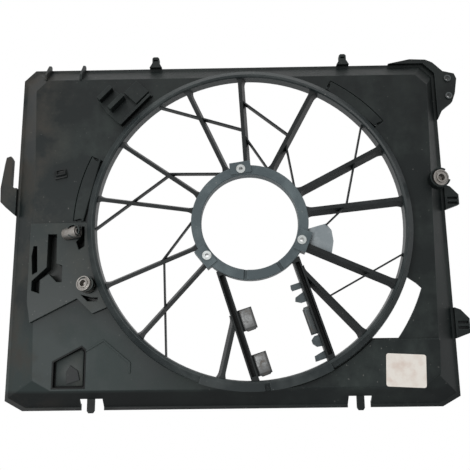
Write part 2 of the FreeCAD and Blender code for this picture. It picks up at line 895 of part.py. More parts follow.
def rail_frame(side, distance):
    """Places a piece drawn beside a rail: X points down the rail and Z to its right-hand side."""
    start, end = strut_ends(side)
    place, length = along(start, end)
    return Placement(start + (end - start).normalize() * distance, place.Rotation)


def make_rail_piece(name, side, distance, corners, low, thick, arcs=None):
    body = plate(name, corners, low, thick, arcs)
    body.Placement = rail_frame(side, distance)
    return body


def make_left_tab(number, distance):
    """A moulded tab on the left rail that carries a spring clip."""
    half = size_of("rail_width") / 2
    reach = half + size_of("tab_reach")
    corners = [(0, half), (0, reach), (size_of("tab_length"), reach), (size_of("tab_length"), half)]
    low = size_of("clip_seat")
    return make_rail_piece(f"left_tab_{number}", "left", distance, corners, low, "tab_thick")


def make_spring_clip(name, distance):
    """A spring-steel sleeve folded over a tab, with a curled lip at its end."""
    body = new_body(name)
    low = size_of("clip_seat")
    steel = size_of("spring_steel")
    thick = size_of("tab_thick")
    start = size_of("rail_width") / 2 + "rail_wall"
    reach = size_of("rail_width") / 2 + size_of("tab_reach")
    profile = new_sketch(body, f"{name}_fold", plane="YZ_Plane", offset=(size_of("tab_length") - size_of("clip_length")) / 2)
    bow = size_of("clip_bow")
    draw_outline(profile, [
        (-(low + thick), start),
        (-(low + thick + bow), start),
        (-(low + thick + bow + steel), start + 2),
        (-(low + thick + steel), reach + steel),
        (-(low - steel), reach + steel),
        (-(low - steel - bow), start + 4),
        (-(low - bow), start + 4),
        (-low, reach),
        (-(low + thick), reach),
    ])
    pad(body, profile, "clip_length")
    body.Placement = rail_frame("left", distance)
    return body


def make_right_hook(number, distance, corners):
    """A tab or a hook on the bay side of the right rail, drawn down the rail and out from its web."""
    half = size_of("rail_width") / 2
    outline = [(down, -(half + out)) for down, out in corners]
    return make_rail_piece(f"right_hook_{number}", "right", distance, outline, "clip_seat", "tab_thick")


# distance down the right rail, then the outline: down the rail and out from the web
RIGHT_HOOKS = [
    (32, [(0, 0), (8, 0), (8, 13), (5, 14), (0, 13)]),
    (45, [(0, 0), (13, 0), (13, 7), (9, 14), (4, 12)]),
    (103, [(0, 0), (15, 0), (14, 7), (9, 11), (4, 11), (0, 6)]),
    (124, [(0, 0), (10, 0), (10, 15), (3, 14)]),
]


def make_contact_spring():
    """The bowed leaf spring on the bay side of the right rail."""
    body = new_body("rail_contact_spring")
    foot = -size_of("rail_width") / 2
    span = size_of("leaf_span")
    bow = size_of("leaf_bow")
    steel = size_of("spring_steel")
    radius = (span * span / 4 + bow * bow) / (2 * bow)
    inner = radius - steel
    rise = radius - bow
    reach = Size(math.sqrt(inner.value ** 2 - rise.value ** 2), f"sqrt({(inner * inner - rise * rise).text})")
    profile = new_sketch(body, "leaf", offset=size_of("rail_front") - "rail_wall" - "leaf_width")
    draw_outline(profile, [
        (-span / 2, foot), (span / 2, foot), (reach, foot), (-reach, foot),
    ], {0: radius, 2: -inner})
    pad(body, profile, "leaf_width")
    body.Placement = rail_frame("right", LEAF_PLACE)
    return body


LEAF_PLACE = 84.0
CLIP_NAMES = ("rail_spring_clip_upper", "rail_spring_clip_lower")
CLIP_PLACES = (56.0, 115.0)


# ---------------------------------------------------------------- clips for hoses and lines

# name: how far beside the ring, at which angle, outer radius, direction of the mouth, depth of the foot
CLIPS = {
    "hose_clip_upper": (16.5, 182.0, "upper_clip_radius", 190.0, size_of("face_depth") + "deck_rise"),
    "hose_clip_lower": (11.0, 200.3, "lower_clip_radius", 190.0, size_of("face_depth") + "deck_rise"),
    "line_clip_right": (46.5, 12.9, "right_clip_radius", 20.0, size_of("face_depth")),
}


def beside_ring(distance, angle, turn=0.0):
    """A place a distance outside the ring's skirt, at an angle round the fan axis."""
    across, up = polar(LIP_OUTER + distance, angle)
    return Placement(Vector(across.value, 0, up.value), Rotation(Vector(0, -1, 0), turn))


def open_ring(body, name, inner, outer, low, high, opening, mouth):
    """A ring about the body's own axis with a mouth that faces the given angle."""
    profile = new_sketch(body, name, plane="XY_Plane")
    profile.AttachmentOffset = Placement(Vector(0, 0, 0), Rotation(Vector(0, -1, 0), mouth - opening.value / 2))
    draw_outline(profile, [(inner, -high), (outer, -high), (outer, -low), (inner, -low)])
    revolve(body, "Revolution", profile, 360 - opening)


def make_clip(name):
    """A snap-in clip: an open plastic ring standing on the panel."""
    distance, angle, radius, mouth, low = CLIPS[name]
    body = new_body(name)
    high = low + size_of("clip_height")
    outer = size_of(radius)
    open_ring(body, f"{name}_ring", outer - size_of("clip_wall"), outer, low, high, size_of("clip_opening"), mouth)
    body.Placement = beside_ring(distance, angle)
    return body


def make_liner(name):
    """The spring-steel lining of a clip, with a lip at each side of its mouth."""
    distance, angle, radius, mouth, foot = CLIPS[name]
    body = new_body(f"{name}_liner")
    low = foot + 2
    high = low + size_of("clip_height")
    outer = size_of(radius) - size_of("clip_wall")
    inner = outer - "liner_thick"
    opening = size_of("clip_opening") - 12
    open_ring(body, f"{name}_lining", inner, outer, low, high, opening, mouth)
    tip = size_of(radius) + "liner_lip"
    lip = [(inner, -high), (tip, -high), (tip, -low), (inner, -low)]
    for end in (-1, 1):
        sector(body, "Revolution", f"{name}_lip_{end + 1}", mouth + (opening / 2 + 2.5) * end, 5, lip)
    body.Placement = beside_ring(distance, angle)
    return body


# ---------------------------------------------------------------- outer fixings

def edge(side, amount):
    """A place measured outwards from one edge of the back flange."""
    return size_of(f"back_{side}") + size_of("flange_width") + amount


def make_side_hook():
    """The finger on the left edge that hooks behind the radiator tank."""
    corners = [
        (-edge("left", 0), 22), (-edge("left", 0), 62), (-edge("left", 4), 62), (-edge("left", 8), 66),
        (-edge("left", 8), 104), (-edge("left", 11), 109), (-edge("left", 17), 107), (-edge("left", 19), 95),
        (-edge("left", 23), 62), (-edge("left", 22), 42), (-edge("left", 14), 34),
    ]
    return plate("side_hook_left", corners, 0, "edge_thick")


def make_ear_right(number, top, drop):
    """One of the two mounting ears on the right edge, with its ribs."""
    body = plate(f"ear_right_{number}", [
        (edge("right", 0), top), (edge("right", 8), top - 3), (edge("right", 19), top - 15),
        (edge("right", 19), top - drop + 7), (edge("right", 8), top - drop + 3), (edge("right", 0), top - drop),
    ], 0, "edge_thick")
    ribs = new_sketch(body, f"ear_grooves_{number}", offset=size_of("edge_thick") + 1)
    for step in range(2):
        low = top - 22 - 7 * step
        draw_outline(ribs, rectangle(edge("right", 3), edge("right", 17), low, low + 4))
    pocket(body, ribs, 6)
    return body


def make_tank_bracket():
    """The plate that rises over the top right corner and carries two bushes."""
    cut = SIZES["corner_cut"]
    body = plate("tank_bracket", [
        (206, edge("top", 0)), (edge("right", -cut), edge("top", 0)), (edge("right", 0), edge("top", -cut)),
        (edge("right", 0), 155), (279, 169),
        (294, 181), (299, 194), (303, 217), (300, 225), (284, 229), (270, 243), (260, 247.5), (237, 248.5),
    ], 0, "edge_thick")
    holes = new_sketch(body, "bush_holes", offset=size_of("edge_thick") + 1)
    for spot in BUSHES:
        draw_circle(holes, spot, "bush_radius")
    pocket(body, holes, size_of("edge_thick") + 2)
    return body


BUSHES = [(289.5, 217), (289.5, 190)]


def make_bush(number):
    body = new_body(f"tank_bush_{number}")
    profile = new_sketch(body, f"bush_section_{number}")
    draw_circle(profile, BUSHES[number], "bush_radius")
    draw_circle(profile, BUSHES[number], "bush_bore")
    pad(body, profile, size_of("edge_thick") + 2)
    return body


def make_top_catch(number, middle):
    """A catch post on the top edge with a slot for its wedge."""
    base = edge("top", 0)
    body = plate(f"top_catch_{number}", [
        (middle - 9, base), (middle + 9, base), (middle + 5, base + 7), (middle + 5, base + 14),
        (middle + 3, base + 16), (middle - 3, base + 16), (middle - 5, base + 14), (middle - 5, base + 7),
    ], 0, "catch_thick")
    slot = new_sketch(body, f"catch_slot_{number}", offset=size_of("catch_thick") + 1)
    draw_outline(slot, rectangle(middle - 3, middle + 3, base + 9, base + 12))
    pocket(body, slot, 5)
    return body


NOTCHES = (-209.5, 139.5)


def make_lower_tongue(number, middle):
    """A tongue that hangs in a notch of the bottom edge and drops into the radiator's lower pocket."""
    width = size_of("tongue_width") / 2
    top = -size_of("notch_top")
    tip = -edge("bottom", 3)
    depth = size_of("tongue_depth")
    return plate(f"lower_tongue_{number}", [
        (middle - width, top), (middle - width, tip + 3), (middle - width + 2, tip), (middle + width - 2, tip),
        (middle + width, tip + 3), (middle + width, top),
    ], depth, "tongue_thick")


# ---------------------------------------------------------------- corner tray, connector holder and label

TRAY = [(-259, -213), (-215, -213), (-215, -163), (-221, -158), (-259, -178)]


def make_corner_tray():
    """The five-sided pocket in the lower left corner."""
    body = new_body("corner_tray")
    profile = new_sketch(body, "tray_outline", offset=size_of("face_depth") - size_of("tray_depth"))
    draw_outline(profile, TRAY)
    pad(body, profile, "tray_depth")
    hollow = new_sketch(body, "tray_hollow", offset="face_depth")
    draw_outline(hollow, inset(TRAY, "tray_wall"))
    pocket(body, hollow, size_of("tray_depth") - size_of("tray_wall"))
    return body


def make_deck():
    """The raised deck at the left that carries the hose clips, with its blind recesses hanging behind it."""
    body = new_body("service_deck")
    top = size_of("face_depth") + "deck_rise"
    under = top - "deck_wall"
    foot = size_of("deck_foot")
    outline = new_sketch(body, "deck_outline", offset=foot)
    draw_outline(outline, DECK, {DECK_RING_SIDE: -LIP_OUTER})
    pad(body, outline, top - foot)
    hollow = new_sketch(body, "deck_hollow", offset=under)
    draw_outline(hollow, inset(DECK, "deck_wall"), {DECK_RING_SIDE: -(LIP_OUTER + "deck_wall")})
    pocket(body, hollow, under - foot + 1)
    floor = size_of("recess_floor")
    wall = size_of("recess_wall")
    for name, corners in RECESSES.items():
        cup = new_sketch(body, f"{name}_cup", offset=floor - wall)
        draw_outline(cup, inset(corners, -wall))
        pad(body, cup, under + 0.5 - floor + wall)
    for name, corners in RECESSES.items():
        recess = new_sketch(body, f"{name}_recess", offset=top + 1)
        draw_outline(recess, corners)
        pocket(body, recess, top + 1 - floor)
    return body


def make_pocket_clip():
    """The spring tab that stands in the corner tray."""
    foot = size_of("face_depth") - size_of("tray_depth") + size_of("tray_wall")
    return plate("pocket_clip", [(-240, -207), (-223, -202), (-226, -190), (-236, -183), (-241, -192)], foot, 5)


def make_connector_holder():
    """The connector bracket beside the ring, turned along the ring: a base, two walls, a ridge and a shelf."""
    body = new_body("connector_holder")
    base_depth = size_of("face_depth")
    base = new_sketch(body, "holder_floor", offset=base_depth)
    draw_outline(base, [(-16, -17), (46, -17), (46, 14), (16, 14), (16, 34), (-11, 34), (-16, 12)])
    pad(body, base, "holder_base")
    top = base_depth + size_of("holder_base")
    steps = [
        ("wall_outer", rectangle(-11, 14, 28, 34), 0.8),
        ("wall_inner", rectangle(-11, 16, 6, 12), 1.0),
        ("ridge", rectangle(-16, 43, -17, -13.5), 0.4),
        ("shelf", rectangle(21, 46, -10, 14), 0.25),
    ]
    for name, outline, share in steps:
        profile = new_sketch(body, name, offset=top)
        draw_outline(profile, outline)
        pad(body, profile, size_of("holder_height") * share)
    body.Placement = beside_ring(26.1, 136.8, turn=47)
    return body


def make_label():
    """The rating label's blank film."""
    half = size_of("label_width") / 2
    rise = size_of("label_height") / 2
    low = size_of("face_depth") + size_of("platform_rise")
    body = plate("label", rectangle(-half, half, -rise, rise), low, "label_thick")
    body.Placement = Placement(Vector(197, 0, -186), Rotation(Vector(0, -1, 0), 3))
    return body


def make_corner_hook(number, across):
    """A rib up the sloped top wall that ends in a small hook over the edge."""
    body = new_body(f"corner_hook_{number}")
    profile = new_sketch(body, f"hook_section_{number}", plane="YZ_Plane", offset=across)
    face = size_of("face_depth")
    thick = size_of("flange_thick")
    top = edge("top", 0)
    draw_outline(profile, [
        (-thick, top), (-thick, size_of("back_top")), (-face, size_of("back_top") - "draft_top"),
        (-(face + 2), size_of("back_top") - "draft_top"), (-(face + 2), top - 18), (-(thick + 7), top + 4),
        (-(thick + 2), top + 5), (-thick, top + 4),
    ])
    pad(body, profile, "rib_thick")
    return body


# ---------------------------------------------------------------- assembly
panel = make_panel()
fan_ring = make_fan_ring()
motor_ring = make_motor_ring()
rings = [fan_ring, motor_ring]
rails = [butt(f"module_rail_{side}", make_rail(side), *rings) for side in RAILS]
bare_struts = group("bare_struts", [make_strut(name) for name in list(STRUTS) + list(BRANCHES)])
main_struts = butt("main_struts", bare_struts, *rings, *rails)
gusset = butt("motor_boss_gusset", plate("bare_gusset", GUSSET, 38.0, 2.0), motor_ring, main_struts)
bare_braces = group("bare_braces", [make_brace(number, *ends) for number, ends in enumerate(BRACES)])
bracing = butt("bracing_struts", bare_braces, *rings, *rails, main_struts, gusset)

pieces = [panel, *rings, *rails, main_struts, gusset, bracing]
pieces.append(group("motor_inserts", [make_insert(number) for number in range(3)]))
pieces += [make_flap(side) for side in WINDOW_ANGLES]
pieces += [make_flap_pin(side) for side in WINDOW_ANGLES]
bare_ears = group("bare_ears", [make_ear(side, number) for side in WINDOW_ANGLES for number in range(2)])
pieces.append(butt("flap_hinge_ears", bare_ears, panel))
pieces.append(group("rail_tabs_left", [make_left_tab(number, distance) for number, distance in enumerate(CLIP_PLACES)]))
pieces += [make_spring_clip(name, distance) for name, distance in zip(CLIP_NAMES, CLIP_PLACES)]
pieces += [make_clip(name) for name in CLIPS]
pieces.append(group("clip_liners", [make_liner(name) for name in CLIPS]))
pieces.append(make_side_hook())
pieces.append(group("mounting_ears_right", [make_ear_right(1, 58, 36), make_ear_right(2, -113, 41)]))
pieces.append(make_tank_bracket())
pieces.append(group("tank_bushes", [make_bush(number) for number in range(2)]))
pieces.append(group("top_catches", [make_top_catch(number, middle) for number, middle in enumerate((-133, 140))]))
pieces.append(group("lower_tongues", [make_lower_tongue(number, middle) for number, middle in enumerate(NOTCHES)]))
pieces.append(make_corner_tray())
pieces.append(make_deck())
hooks = [make_right_hook(number, *place) for number, place in enumerate(RIGHT_HOOKS)]
pieces.append(butt("rail_hooks_right", group("bare_hooks", hooks), *rings, rails[1]))
pieces.append(make_contact_spring())
pieces.append(make_pocket_clip())
pieces.append(make_connector_holder())
pieces.append(make_label())
pieces.append(group("corner_hooks", [make_corner_hook(number, across) for number, across in enumerate((-289, -239))]))

doc.recompute()
for item in doc.Objects:
    if "Invalid" in item.State or "Error" in item.State:
        print("failed", item.Name, item.State)
        raise SystemExit(1)
os.makedirs("parts", exist_ok=True)
for piece in pieces:
    if piece.Shape.isNull() or not piece.Shape.isValid():
        print("no valid shape", piece.Label)
        raise SystemExit(1)
    piece.Shape.exportStep(f"parts/{piece.Label}.step")
    print(piece.Label, len(piece.Shape.Solids), round(piece.Shape.Volume / 1000, 1))
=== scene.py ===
# %% [markdown]
# # A radiator fan shroud
# A fan shroud is the black plastic frame behind a car's radiator. It carries the fan's motor in a
# ring of slanted struts and makes the fan draw its air through the whole radiator. This file
# dresses the CAD model of one: it adds the light, the camera, the finishes and the small details.
# Every piece is placed in the CAD model's own frame: the fan turns about the Y axis, +Z is up, and
# the engine, where the camera stands, is towards -Y.

# %% Load the CAD model
import json
import math

import bmesh
import bpy
from mathutils import Matrix, Vector


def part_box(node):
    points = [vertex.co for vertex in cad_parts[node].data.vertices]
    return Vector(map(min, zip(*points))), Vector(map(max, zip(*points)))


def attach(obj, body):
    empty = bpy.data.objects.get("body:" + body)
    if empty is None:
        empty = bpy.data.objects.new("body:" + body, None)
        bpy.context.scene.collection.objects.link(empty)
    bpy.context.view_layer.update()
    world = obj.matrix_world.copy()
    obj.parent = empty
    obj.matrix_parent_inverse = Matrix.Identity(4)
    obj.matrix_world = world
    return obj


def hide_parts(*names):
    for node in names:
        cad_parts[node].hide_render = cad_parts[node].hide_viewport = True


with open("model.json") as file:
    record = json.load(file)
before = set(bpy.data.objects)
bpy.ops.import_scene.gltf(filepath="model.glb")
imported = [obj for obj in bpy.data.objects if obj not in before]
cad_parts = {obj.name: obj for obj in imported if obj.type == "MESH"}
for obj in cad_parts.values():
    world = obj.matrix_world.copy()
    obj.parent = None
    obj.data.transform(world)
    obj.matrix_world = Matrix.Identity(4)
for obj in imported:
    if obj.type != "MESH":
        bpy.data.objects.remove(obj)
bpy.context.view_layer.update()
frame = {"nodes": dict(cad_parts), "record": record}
MM = 0.001
print("CAD nodes:", len(frame["nodes"]))

# %% [markdown]
# ## The camera
# The object is seen from the engine side, from a little below the fan's axis, with the camera
# tilted up. A camera looks along its own -Z, so its matrix is built from three directions: right,
# up and back. A slight roll lets the panel hang a little out of level.

# %% Camera
CAMERA_PLACE = Vector((-11.4, -835.7, -186.0)) * MM
CAMERA_PITCH = math.radians(12.0)
CAMERA_YAW = math.radians(0.6)
CAMERA_ROLL = math.radians(0.7)
LENS = 47.1
SENSOR = 36.0
NEAREST = 0.02


def add_camera():
    level_right = Vector((math.cos(CAMERA_YAW), math.sin(CAMERA_YAW), 0))
    forward = Vector((
        -math.cos(CAMERA_PITCH) * math.sin(CAMERA_YAW),
        math.cos(CAMERA_PITCH) * math.cos(CAMERA_YAW),
        math.sin(CAMERA_PITCH),
    ))
    level_up = level_right.cross(forward)
    right = math.cos(CAMERA_ROLL) * level_right - math.sin(CAMERA_ROLL) * level_up
    up = math.sin(CAMERA_ROLL) * level_right + math.cos(CAMERA_ROLL) * level_up
    data = bpy.data.cameras.new("camera")
    data.sensor_width = SENSOR
    data.lens = LENS
    data.clip_start = NEAREST
    camera = bpy.data.objects.new("camera", data)
    bpy.context.collection.objects.link(camera)
    turn = Matrix((right, up, -forward)).transposed().to_4x4()
    camera.matrix_world = Matrix.Translation(CAMERA_PLACE) @ turn
    bpy.context.scene.camera = camera


add_camera()
bpy.context.scene.view_settings.view_transform = "Standard"
print("camera at", tuple(round(part, 3) for part in CAMERA_PLACE))

# %% [markdown]
# ## Colours and nodes
# Colours are written as sRGB hex values, the way a paint chart gives them, but the shader works
# with linear light. One function turns the one into the other. A second small function adds a
# shader node with its settings and links, which keeps each material short enough to read.

# %% Colour and node helpers
def colour(text):
    """A linear RGBA colour from an sRGB hex value."""
    parts = [int(text[place:place + 2], 16) / 255 for place in (1, 3, 5)]
    linear = [part / 12.92 if part <= 0.04045 else ((part + 0.055) / 1.055) ** 2.4 for part in parts]
    return (*linear, 1.0)


def node(tree, kind, links=None, **settings):
    """Add a shader node, set its properties, and fill each socket with a value or a link."""
    made = tree.nodes.new(kind)
    for name, value in settings.items():
        setattr(made, name, value)
    for socket, value in (links or {}).items():
        if isinstance(value, bpy.types.NodeSocket):
            tree.links.new(value, made.inputs[socket])
        else:
            made.inputs[socket].default_value = value
    return made


# %% [markdown]
# ## Light
# Plain studio light: an even pale world, a soft lamp above and in front, and one low at the left,
# whose soft reflection brightens the panel's lower left and leaves the right side dark. What the
# camera, a mirror or glass sees of the world is white, and only what lights the object is grey, so
# the background stays white without washing out the black plastic. A lamp is an area light turned
# to look at its aim, because a large soft source gives black plastic a gradient and no hard glint.

# %% World and lamps
WORLD_LEVEL = 0.55
LAMPS = {
    "lamp_above": {"place": (-0.2, -1.1, 1.6), "aim": (0, 0, 0), "size": (1.2, 0.8), "power": 10},
    "lamp_low_left": {"place": (-0.8, -1.9, -0.15), "aim": (-0.1, 0, -0.05), "size": (0.7, 0.6), "power": 16},
}


def add_world():
    world = bpy.data.worlds.new("studio")
    bpy.context.scene.world = world
    world.use_nodes = True
    tree = world.node_tree
    tree.nodes.clear()
    path = node(tree, "ShaderNodeLightPath")
    bounced = {0: path.outputs["Is Glossy Ray"], 1: path.outputs["Is Transmission Ray"]}
    mirror = node(tree, "ShaderNodeMath", bounced, operation="MAXIMUM")
    straight = {0: path.outputs["Is Camera Ray"], 1: mirror.outputs[0]}
    sees = node(tree, "ShaderNodeMath", straight, operation="MAXIMUM")
    plain = node(tree, "ShaderNodeBackground", {"Color": colour("#ffffff"), "Strength": 1.0})
    light = node(tree, "ShaderNodeBackground", {"Color": colour("#f2f5f7"), "Strength": WORLD_LEVEL})
    both = node(tree, "ShaderNodeMixShader", {0: sees.outputs[0], 1: light.outputs[0], 2: plain.outputs[0]})
    node(tree, "ShaderNodeOutputWorld", {"Surface": both.outputs[0]})


def add_lamp(name, place, aim, size, power):
    data = bpy.data.lights.new(name, "AREA")
    data.shape = "RECTANGLE"
    data.size, data.size_y = size
    data.energy = power
    lamp = bpy.data.objects.new(name, data)
    bpy.context.collection.objects.link(lamp)
    lamp.location = place
    lamp.rotation_euler = (Vector(aim) - Vector(place)).to_track_quat("-Z", "Y").to_euler()


add_world()
for name, lamp in LAMPS.items():
    add_lamp(name, **lamp)
print("lamps:", ", ".join(LAMPS))

# %% [markdown]
# ## The floor
# The shroud hangs on a car's radiator and has no foot to stand on, so it floats well above a plain
# pale floor that only catches a soft shadow.

# %% Floor
FLOOR_LEVEL = -0.62
FLOOR_SIZE = 2.6
FLOOR_PAINT = "#e9e9e9"
FLOOR_ROUGHNESS = 0.9


def add_floor():
    bpy.ops.mesh.primitive_plane_add(size=FLOOR_SIZE, location=(0, 0, FLOOR_LEVEL))
    floor = bpy.context.object
    floor.name = "floor"
    material = bpy.data.materials.new("pale floor")
    material.use_nodes = True
    tree = material.node_tree
    surface = tree.nodes["Principled BSDF"]
    surface.inputs["Base Color"].default_value = colour(FLOOR_PAINT)
    surface.inputs["Roughness"].default_value = FLOOR_ROUGHNESS
    floor.data.materials.append(material)


bpy.ops.object.select_all(action="DESELECT")
add_floor()
print("floor at", FLOOR_LEVEL)

# %% [markdown]
# ## Glass-filled nylon
# The shroud is moulded in black nylon with short glass fibres, which makes it stiff and hot-proof.
# A moulded face is satin rather than glossy, with a fine grain from the spark-eroded mould. Four
# things are layered over the black: broad patches of road dust, pale specks, edges made lighter,
# partly as rubbed wear and partly as a painted highlight, and black painted shade in the deep
# corners.
#
# The panel also has layers that depend on place. It is painted darker at its top and right as
# painted shade, paler at the lower left as a painted sheen, black along its bottom lip as the painted
# shadow under the lip, and brown with real road film at the far left. A layer of that kind reads the
# place in metres and fades in between two heights or two widths. A Map Range node turns a place or
# a pattern into an amount, and a Mix node lays one colour over another by that amount, so each fade
# below holds the sockets of one Map Range node.

# %% Painted shade, painted sheen and road film on the panel
# painted shade and sheen: the near-black is shade painted at the top, the right, the bottom lip and the deep
# corners, the grey-green is a painted sheen, and the brown is road film
SHADE_BLACK = colour("#070909")
SHEEN_PAINT = colour("#313a39")
ROAD_FILM = colour("#35302b")
SHADE_TOP_FADE = {"From Min": 0.06, "From Max": 0.2, "To Max": 0.45}
SHADE_RIGHT_FADE = {"From Min": 0.16, "From Max": 0.24, "To Max": 0.35}
SHEEN_LEFT = {"From Min": -0.04, "From Max": -0.2}
SHEEN_LOW = {"From Min": -0.1, "From Max": -0.15, "To Max": 0.6}
LIP_SHADOW_LEFT = {"From Min": 0.1, "From Max": -0.15, "To Min": 0.4}
LIP_SHADOW_LOW = {"From Min": -0.214, "From Max": -0.219, "To Max": 0.9}
FAR_LEFT = {"From Min": -0.24, "From Max": -0.29, "To Max": 0.8}
# the layer's colour, whether it lies in the dust's patches, and its fade along each axis; the
# layers are painted shade at the top and at the right, a painted sheen at the lower left, the
# painted shadow under the bottom lip, and road film at the far left
SHADE_SHEEN_AND_FILM = [
    (SHADE_BLACK, False, [("Z", SHADE_TOP_FADE)]),
    (SHADE_BLACK, False, [("X", SHADE_RIGHT_FADE)]),
    (SHEEN_PAINT, False, [("X", SHEEN_LEFT), ("Z", SHEEN_LOW)]),
    (SHADE_BLACK, False, [("X", LIP_SHADOW_LEFT), ("Z", LIP_SHADOW_LOW)]),
    (ROAD_FILM, True, [("X", FAR_LEFT)]),
]


def painted_light_and_road_film(tree, place, patches, paint):
    """Lay the panel's painted shade, painted sheen and road film over its paint, layer by layer."""
    axes = node(tree, "ShaderNodeSeparateXYZ", {"Vector": place})
    for overlay, patchy, fades in SHADE_SHEEN_AND_FILM:
        amounts = [patches] if patchy else []
        for axis, fade in fades:
            ramp = node(tree, "ShaderNodeMapRange", {"Value": axes.outputs[axis], **fade})
            amounts.append(ramp.outputs[0])
        amount = amounts[0]
        for other in amounts[1:]:
            both = node(tree, "ShaderNodeMath", {0: amount, 1: other}, operation="MULTIPLY")
            amount = both.outputs[0]
        layer = node(tree, "ShaderNodeMix", {0: amount, 6: paint, 7: overlay}, data_type="RGBA")
        paint = layer.outputs[2]
    return paint


print("dirt layers:", len(SHADE_SHEEN_AND_FILM))

# %% [markdown]
# ## Grain, dust, and worn and highlit edges
# Patterns take their scale from a real size in millimetres. A noise of scale 1 has features about a
# metre apart, so its scale is 1000 divided by the size. The real mould grain is about 0.1 mm, too
# fine to show from here, so it is drawn at 0.9 mm. A Bevel node rounds the normal at each edge, and
# where the rounded normal leaves the true one the edge is painted lighter, as rubbed wear and as a
# painted highlight.

# %% Nylon
GRAIN = 0.9
DUST_PATCH = 60.0
SPECK = 3.5
SPECK_PAINT = colour("#8d8b86")
RAIN_STRETCH = (60, 60, 9)
PATCH_FADE = {"From Min": 0.45, "From Max": 0.68}
SPECK_FADE = {"From Min": 0.74, "From Max": 0.82}
EDGE_RADIUS = 0.0012
# painted highlight and wear: how far an edge is painted lighter
EDGE_WEAR_AND_HIGHLIGHT_FADE = {"From Min": 0.97, "From Max": 0.8, "To Max": 0.6}
# painted shade: how far the black of the deep corners reaches, and how deep a corner must be
CORNER_SHADE_REACH = 0.03
CORNER_SHADE_FADE = {"From Min": 0.62, "From Max": 0.12, "To Max": 0.9}
SOFT_SAMPLES = 4
NYLON_IOR = 1.53
SATIN = 0.18
GRAIN_STRENGTH = 0.15
GRAIN_DEPTH = 0.0004


def nylon(name, base, dust, edge, dusty=0.5, rough=0.55, with_light_and_film=False):
    material = bpy.data.materials.new(name)
    material.use_nodes = True
    tree = material.node_tree
    surface = tree.nodes["Principled BSDF"]
    place = node(tree, "ShaderNodeTexCoord").outputs["Object"]

    # dust in broad patches, thinned by runs of rain
    patch_noise = {"Vector": place, "Scale": 1000 / DUST_PATCH, "Detail": 6.0, "Roughness": 0.65}
    broad = node(tree, "ShaderNodeTexNoise", patch_noise)
    streak = node(tree, "ShaderNodeMapping", {"Vector": place, "Scale": RAIN_STRETCH})
    runs = node(tree, "ShaderNodeTexNoise", {"Vector": streak.outputs[0], "Scale": 1.0, "Detail": 4.0})
    patches = node(tree, "ShaderNodeMapRange", {"Value": broad.outputs["Fac"], **PATCH_FADE}).outputs[0]
    wash = node(tree, "ShaderNodeMath", {0: patches, 1: runs.outputs["Fac"]}, operation="MULTIPLY")
    lying = {0: wash.outputs[0], 1: dusty * 2}
    amount = node(tree, "ShaderNodeMath", lying, operation="MULTIPLY", use_clamp=True).outputs[0]
    dusted = node(tree, "ShaderNodeMix", {0: amount, 6: colour(base), 7: colour(dust)}, data_type="RGBA")

    # pale specks
    specks = node(tree, "ShaderNodeTexNoise", {"Vector": place, "Scale": 1000 / SPECK, "Detail": 1.0})
    speck_fade = {"Value": specks.outputs["Fac"], **SPECK_FADE, "To Max": dusty}
    dots = node(tree, "ShaderNodeMapRange", speck_fade).outputs[0]
    dotted = node(tree, "ShaderNodeMix", {0: dots, 6: dusted.outputs[2], 7: SPECK_PAINT}, data_type="RGBA")
    paint = dotted.outputs[2]
    if with_light_and_film:
        paint = painted_light_and_road_film(tree, place, patches, paint)

    # edges painted lighter, as rubbed wear and as a painted highlight
    soft = node(tree, "ShaderNodeBevel", {"Radius": EDGE_RADIUS}, samples=SOFT_SAMPLES)
    shape = node(tree, "ShaderNodeNewGeometry")
    normals = {0: soft.outputs[0], 1: shape.outputs["Normal"]}
    bend = node(tree, "ShaderNodeVectorMath", normals, operation="DOT_PRODUCT")
    wear_and_highlight = node(tree, "ShaderNodeMapRange", {"Value": bend.outputs["Value"], **EDGE_WEAR_AND_HIGHLIGHT_FADE}).outputs[0]
    worn_and_highlit = node(tree, "ShaderNodeMix", {0: wear_and_highlight, 6: paint, 7: colour(edge)}, data_type="RGBA")

    # painted shade in the deep corners
    corner = node(tree, "ShaderNodeAmbientOcclusion", {"Distance": CORNER_SHADE_REACH}, samples=SOFT_SAMPLES)
    deep = node(tree, "ShaderNodeMapRange", {"Value": corner.outputs["AO"], **CORNER_SHADE_FADE}).outputs[0]
    painted_shade = node(tree, "ShaderNodeMix", {0: deep, 6: worn_and_highlit.outputs[2], 7: SHADE_BLACK}, data_type="RGBA")
    tree.links.new(painted_shade.outputs[2], surface.inputs["Base Color"])

    # a satin face that is duller where dust lies, and the mould's grain
    satin = {"Value": amount, "To Min": rough - 0.05, "To Max": rough + 0.25}
    tree.links.new(node(tree, "ShaderNodeMapRange", satin).outputs[0], surface.inputs["Roughness"])
    surface.inputs["Specular IOR Level"].default_value = SATIN
    surface.inputs["IOR"].default_value = NYLON_IOR
    fine = node(tree, "ShaderNodeTexNoise", {"Vector": place, "Scale": 1000 / GRAIN, "Detail": 2.0})
    grain = {"Height": fine.outputs["Fac"], "Strength": GRAIN_STRENGTH, "Distance": GRAIN_DEPTH,
             "Normal": soft.outputs[0]}
    bump = node(tree, "ShaderNodeBump", grain)
    tree.links.new(bump.outputs[0], surface.inputs["Normal"])
    return material


# %% [markdown]
# ## One nylon, in eight finishes
# The whole moulding is one nylon, but each part of it is painted in its own way. The struts stay
# black, the motor seat is paler as a painted sheen on its flat face, the rail hooks are paler, as if
# rubbed by what is slid on, the ring is a little paler as a painted highlight on its lip, and the gusset
# of one motor boss is the dustiest. One near-black finish is painted shade for the shadowed tray and
# the wall above the duct. Each finish is given its base, its dust and its lighter edge, then how dusty
# and how rough it is.

# %% Nylon finishes
PANEL_NYLON = nylon("glass-filled nylon, panel", "#151b1b", "#3d4441", "#4b5553", 0.5, 0.5, with_light_and_film=True)
DECK_NYLON = nylon("glass-filled nylon, deck", "#222928", "#4c4c46", "#5a605e", 0.4, 0.42)
